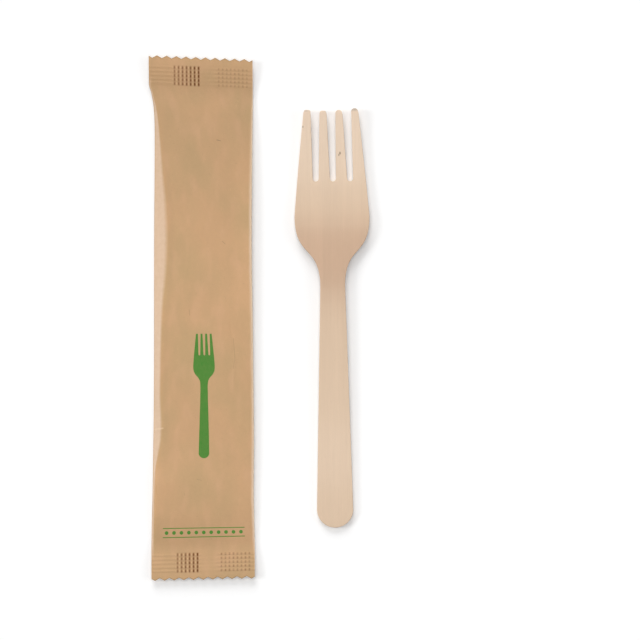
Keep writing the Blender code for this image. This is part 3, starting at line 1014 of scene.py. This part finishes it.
def crimp_marks(tree, x, s):
    """Where the crimp's pits get painted shade and its ridges painted highlights, as two fields.

    The dark marks are strong lines where it crosses the seam's ribs and faint dots at the right, and
    the light ones lie between the strong lines.
    """
    length, pitch, seam_pitch = SACHET_LENGTH / MM, RIB_PITCH / MM, SEAM_RIB_PITCH / MM
    pressed = grain(tree, x, s, 0.0, CRIMP_PRESSURE) * 0.5 + 1.0
    darks, lights = [], []
    ends = (
        (s, TOP_MARGIN, TOP_RIBS, TOP_DOTS),
        (s * -1 + length, BOTTOM_MARGIN, BOTTOM_RIBS, BOTTOM_DOTS),
    )
    for end, margin, (start, count), dot_strength in ends:
        row = (end - margin / MM) / pitch
        in_row = (row.fract() - 0.5).abs()
        rib = (x - start / MM) / seam_pitch
        in_rib = (rib.fract() - 0.5).abs()
        on_seam = rib.between(0.0, count, 0.3)
        darker_right = rib * (0.5 / count) + 0.5
        line = in_rib.within(0.2, 0.16) * (in_row.within(0.3, 0.25) * 0.55 + 0.45) * pressed
        strong = (line + 0.1) * darker_right * on_seam
        dots = in_rib.within(0.2, 0.2) * in_row.within(0.3, 0.2) * x.between(DOTS_FROM, DOTS_TO, 1.0)
        dots = dots * dot_strength * (pressed * 2.4 - 1.4).at_least(0.2)
        in_crimp = row.between(0.0, RIB_COUNT, 0.25)
        darks.append(strong.at_least(dots) * in_crimp)
        between_ribs = in_rib.within(0.38, 0.12).inverted() * on_seam
        lights.append(between_ribs * in_row.within(0.25, 0.25) * in_crimp)
    return darks[0].at_least(darks[1]), lights[0].at_least(lights[1])


def kraft_sheet(tree, x, s, layer):
    """The plain sheet's colour with painted shade towards its ends, and its mottle, its lengthwise and its
    crosswise fibres as fields.
    """
    clouds = grain(tree, x, s, layer, CLOUDS)
    mottle = grain(tree, x, s, layer, MOTTLE)
    lengthwise = grain(tree, x, s, layer, FIBRES_DOWN)
    crosswise = grain(tree, x, s, layer, FIBRES_ACROSS)
    pale_fibres = (lengthwise.at_least(crosswise) - 0.3).at_least(0.0) * 2.0
    dark_fibres = ((lengthwise * -1).at_least(crosswise * -1) - 0.36).at_least(0.0) * 1.6
    # Painted shade: the sheet darker towards both ends and a little lighter in its middle
    painted_shading = curve_field(tree, s, LENGTH_SHADING, SACHET_LENGTH / MM, 1.1)
    tone = (clouds * 0.055 + mottle * 0.035 + 1.0) * painted_shading
    olive = grain(tree, x, s, layer + 3.0, OLIVE_PATCHES) * 1.4 + 0.3
    patches = grain(tree, x, s, layer + 5.0, SMALL_PATCHES)
    colour = tinted(tree, KRAFT, KRAFT_OLIVE, (olive + patches * 0.42).at_least(0.0).at_most(0.9))
    colour = tinted(tree, colour, KRAFT_ROSY, (patches * -0.6 - 0.02).at_least(0.0).at_most(0.6))
    colour = tinted(tree, colour, KRAFT_LIGHT, pale_fibres.at_most(0.6))
    colour = tinted(tree, colour, KRAFT_SHADE, dark_fibres.at_most(0.3))
    return shaded(tree, colour, tone), mottle, lengthwise, crosswise


def fold_sheen_and_shade(tree, x, s, layer, front):
    """Where the left facet and the right-hand fold get painted sheen, and the painted shade and painted
    light beside them.
    """
    half_width = SACHET_WIDTH / MM / 2
    length, seal = SACHET_LENGTH / MM, SEAL_LENGTH / MM
    shares = np.array(sorted({share for share, _ in LEFT_CREASE + LEFT_INSET}))
    widths = np.maximum(flowing(LEFT_CREASE, shares) - flowing(LEFT_INSET, shares), FACET_LEAST) / MM
    facet_points = list(zip(seal + shares * (length - 2 * seal), widths))
    facet = curve_field(tree, s, facet_points, length, WIDEST_FACET)
    # Painted sheen: the left facet paler, as where it catches the light
    left_facet = (((x + half_width) / facet * -1 + 1.05) * 3.0).at_least(0.0).at_most(1.0)
    left_facet = left_facet * curve_field(tree, s, LEFT_FACET_SHEEN, length, 1.2) * front
    crumple = grain(tree, x, s, layer + 8.0, CRUMPLE)
    # Painted highlight: a pale strip along the right-hand fold, where it catches the light
    right_edge = (x + crumple * 0.25).within(half_width - 0.3, 0.7).inverted()
    right_edge = right_edge * curve_field(tree, s, RIGHT_FOLD_SHEEN, length, 1.0)
    painted_sheen = left_facet.at_least(right_edge) * s.between(seal, length - seal, 6.0)
    # Painted shade: a little darker just inside the facet's crease
    painted_crease_shade = (x + half_width - facet - BESIDE_FACET).abs().within(1.0, 1.2)
    painted_crease_shade = painted_crease_shade * s.between(seal + FACET_SHADE_FROM, length - FACET_SHADE_TO, 20.0)
    # Painted light: a little lighter towards the right-hand fold
    painted_fold_light = x.within(NEAR_FOLD, 6.0).inverted() * s.between(NEAR_FOLD_FROM, NEAR_FOLD_TO, 20.0)
    return painted_sheen, painted_crease_shade * -0.035 + painted_fold_light * 0.05 + 1.0


def flecked(tree, colour, x, s, front):
    """colour with the sheet's dark fibres and, along its pale crease, a painted highlight drawn in."""
    for (start_x, start_s), (end_x, end_s), width, depth, kind in FLECKS:
        run_x, run_s = end_x - start_x, end_s - start_s
        square = run_x**2 + run_s**2
        along = (((x - start_x) * run_x + (s - start_s) * run_s) / square).at_least(0.0).at_most(1.0)
        away = ((x - start_x - along * run_x) ** 2.0 + (s - start_s - along * run_s) ** 2.0).sqrt()
        # The pale crease is a painted highlight along the crease's ridge
        tint = KRAFT_HIGHLIGHT if kind == "pale" else KRAFT_SHADE
        colour = tinted(tree, colour, tint, away.within(width, width) * front * depth)
    return colour


def paper_material():
    """Brown kraft: cloudy tone with painted shade towards the ends, fine fibres, painted sheen, shade and
    light at the folds, crimp marks with painted shade and highlights, slight glaze, green print.
    """
    material, tree, shader = new_material("kraft_paper_finish")
    x, s, side = flat_place(tree)
    layer = side * SIDES_APART
    front = side.within(0.5, 0.1)
    colour, mottle, lengthwise, crosswise = kraft_sheet(tree, x, s, layer)
    painted_sheen, light = fold_sheen_and_shade(tree, x, s, layer, front)
    # Painted shade beside the facet's crease and painted light towards the right-hand fold
    colour = shaded(tree, colour, light)
    # Painted sheen on the left facet and painted highlight along the right-hand fold
    colour = tinted(tree, colour, KRAFT_SHEEN, painted_sheen * (mottle * 0.25 + 0.7))
    # Painted light on the right-hand fold where it turns under, lifting its shade
    turned_under = x.within(SACHET_WIDTH / MM / 2 + 0.15, 0.3).inverted()
    colour = tinted(tree, colour, KRAFT_HIGHLIGHT, turned_under * 0.8)
    from_cut = s.at_most(s * -1 + SACHET_LENGTH / MM)
    colour = tinted(tree, colour, KRAFT_SHADE, from_cut.within(0.35, 0.5) * 0.32)
    painted_pit_shade, painted_ridge_highlight = crimp_marks(tree, x, s)
    # Painted highlights on the crimp's ridges, then painted shade in its pits
    colour = tinted(tree, colour, KRAFT_LIGHT, painted_ridge_highlight * front * 0.8)
    colour = tinted(tree, colour, KRAFT_DARK, (painted_pit_shade * front).at_most(1.0))
    colour = flecked(tree, colour, x, s, front)
    ink = printed_fork(tree, x, s).at_least(printed_border(x, s)) * front
    cover = ink * (mottle * 0.06 + lengthwise * 0.05 + 0.96)
    colour = tinted(tree, colour, INK, cover.at_most(1.0))
    tree.links.new(colour, shader.inputs["Base Color"])
    tree.links.new((mottle * 0.05 + 0.47).socket, shader.inputs["Roughness"])
    shader.inputs["Specular IOR Level"].default_value = 0.5
    bumped(tree, shader, mottle * 0.5 + lengthwise * 0.25 + crosswise * 0.25, 0.03)
    return material


def wood_material():
    """Birch veneer: straight grain, pores, painted shade on the shoulder and neck, tines paler with painted
    sheen, specks, scorched tips.
    """
    material, tree, shader = new_material("birch_wood_finish")
    x, s, height = flat_place(tree)
    grain_x = x + grain(tree, x, s, 0.0, WANDER) * 0.8
    broad = grain(tree, grain_x, s, height * 0.2, BROAD_GRAIN)
    fine = grain(tree, grain_x, s, height, FINE_GRAIN)
    hair = grain(tree, grain_x, s, height * 3.0, HAIR_GRAIN)
    pores = (grain(tree, grain_x, s, PORES_LAYER, PORES) - 0.46).at_least(0.0) * 3.0
    length = FORK_LENGTH / MM
    # Painted sheen on the tines and paler wood down the handle; painted shade on the shoulder and neck
    pale = curve_field(tree, s, PALE_TONE_AND_SHEEN, length, 1.0)
    pressed = curve_field(tree, s, SHOULDER_SHADE, length, 1.0)
    colour = tinted(tree, BIRCH, BIRCH_PALE_SHEEN, pale.at_least(0.0))
    colour = tinted(tree, colour, BIRCH_SHADED, pressed.at_least(0.0))
    colour = tinted(tree, colour, BIRCH_STREAK, (pores * 0.6).at_most(0.5))
    lighter_left = grain_x.within(BAND_SIDE, 0.5) * s.between(BAND_FROM, BAND_TO, 12.0) * 0.035
    tone = broad * 0.05 + fine * 0.045 + hair * 0.03 + lighter_left + 1.0
    colour = shaded(tree, colour, tone)
    middle = VENEER / MM / 2
    on_top = height.within(middle, 0.2).inverted()
    for speck_x, speck_s, size, depth in SPECKS:
        away = ((x - speck_x) ** 2.0 + ((s - speck_s) * 0.6) ** 2.0).sqrt()
        colour = tinted(tree, colour, SPECK, away.within(size, size) * on_top * depth)
    left_tip, right_tip = (x.between(start, end, 1.2) for start, end in SCORCHED_TIPS)
    tips = s.within(0.7, 0.9) * left_tip.at_least(right_tip) * 0.6
    colour = tinted(tree, colour, SCORCH, tips)
    # Painted shade: the rounded edges a little darker
    on_edge = (height - middle).abs().within(middle - EDGE_ROUND / MM, 0.2) * 0.02
    colour = shaded(tree, colour, on_edge * -1 + 1.0)
    tree.links.new(colour, shader.inputs["Base Color"])
    tree.links.new((fine * 0.06 + 0.52).socket, shader.inputs["Roughness"])
    bumped(tree, shader, fine * 0.55 + hair * 0.3 + pores * -0.3, 0.05)
    return material


# The set


def make_floor():
    """A pale floor that renders white where nothing shades it, and still takes the shadows."""
    bpy.ops.mesh.primitive_plane_add(size=FLOOR_SIZE, location=(0.0, 0.0, 0.0))
    floor = bpy.context.object
    floor.name = "floor"
    material, tree, shader = new_material("white_floor")
    shader.inputs["Base Color"].default_value = (FLOOR_WHITE, FLOOR_WHITE, FLOOR_WHITE, 1.0)
    shader.inputs["Roughness"].default_value = 1.0
    shader.inputs["Specular IOR Level"].default_value = 0.0
    shader.inputs["Emission Color"].default_value = (1.0, 1.0, 1.0, 1.0)
    path = tree.nodes.new("ShaderNodeLightPath")
    glow = Field(tree, path.outputs["Is Camera Ray"]) * FLOOR_GLOW
    tree.links.new(glow.socket, shader.inputs["Emission Strength"])
    floor.data.materials.append(material)


def sunlight(name, towards, share, spread_deg, shine):
    """A soft lamp in this direction, with or without a highlight; LAMPS says what share is."""
    direction = Vector(towards).normalized()
    light = bpy.data.lights.new(name, "SUN")
    light.energy = share * math.pi / direction.z
    light.angle = math.radians(spread_deg)
    lamp = bpy.data.objects.new(name, light)
    lamp.visible_glossy = shine
    lamp.rotation_euler = direction.to_track_quat("Z", "Y").to_euler()
    bpy.context.scene.collection.objects.link(lamp)


def make_lights():
    """The lamps, and a world that is white to the camera and dimmer as a light and in reflections."""
    for lamp in LAMPS:
        sunlight(*lamp)
    world = bpy.data.worlds.new("studio")
    bpy.context.scene.world = world
    world.use_nodes = True
    tree = world.node_tree
    back = tree.nodes["Background"]
    back.inputs["Color"].default_value = (1.0, 1.0, 1.0, 1.0)
    path = tree.nodes.new("ShaderNodeLightPath")
    camera_ray, through_ray, glossy_ray = (
        Field(tree, path.outputs[f"Is {kind} Ray"]) for kind in ("Camera", "Transmission", "Glossy")
    )
    seen = camera_ray.at_least(through_ray)
    mirrored = glossy_ray * (MIRRORED_WORLD - WORLD_SHARE)
    strength = seen * (1.0 - WORLD_SHARE) + mirrored + WORLD_SHARE
    tree.links.new(strength.socket, back.inputs["Strength"])


def make_camera():
    """Looks straight down, with the photograph's scale and framing."""
    pixel = FORK_LENGTH / FORK_PIXELS
    middle = PHOTO_PIXELS / 2
    camera = bpy.data.cameras.new("camera")
    camera.sensor_width = SENSOR
    camera.lens = SENSOR * CAMERA_HEIGHT / (PHOTO_PIXELS * pixel)
    camera.clip_end = CAMERA_REACH
    holder = bpy.data.objects.new("camera", camera)
    aim_x = (middle - PAIR_CENTRE_PIXEL[0]) * pixel
    aim_y = (PAIR_CENTRE_PIXEL[1] - middle) * pixel
    holder.location = (aim_x, aim_y, CAMERA_HEIGHT)
    bpy.context.scene.collection.objects.link(holder)
    bpy.context.scene.camera = holder


def middle_of(node):
    """The middle of a part node's box."""
    low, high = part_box(node)
    return (low + high) / 2


def main():
    bpy.context.scene.view_settings.view_transform = "Standard"
    make_camera()
    make_lights()
    make_floor()
    sachet = sachet_mesh()
    turned_into_place(sachet, SACHET_YAW, middle_of("sealed_sachet"))
    finished_piece("paper_sachet", sachet, paper_material(), "sealed_sachet")
    fork = fork_mesh()
    turned_into_place(fork, FORK_YAW, middle_of("wooden_fork"))
    finished_piece("birch_fork", fork, wood_material(), "wooden_fork")


main()
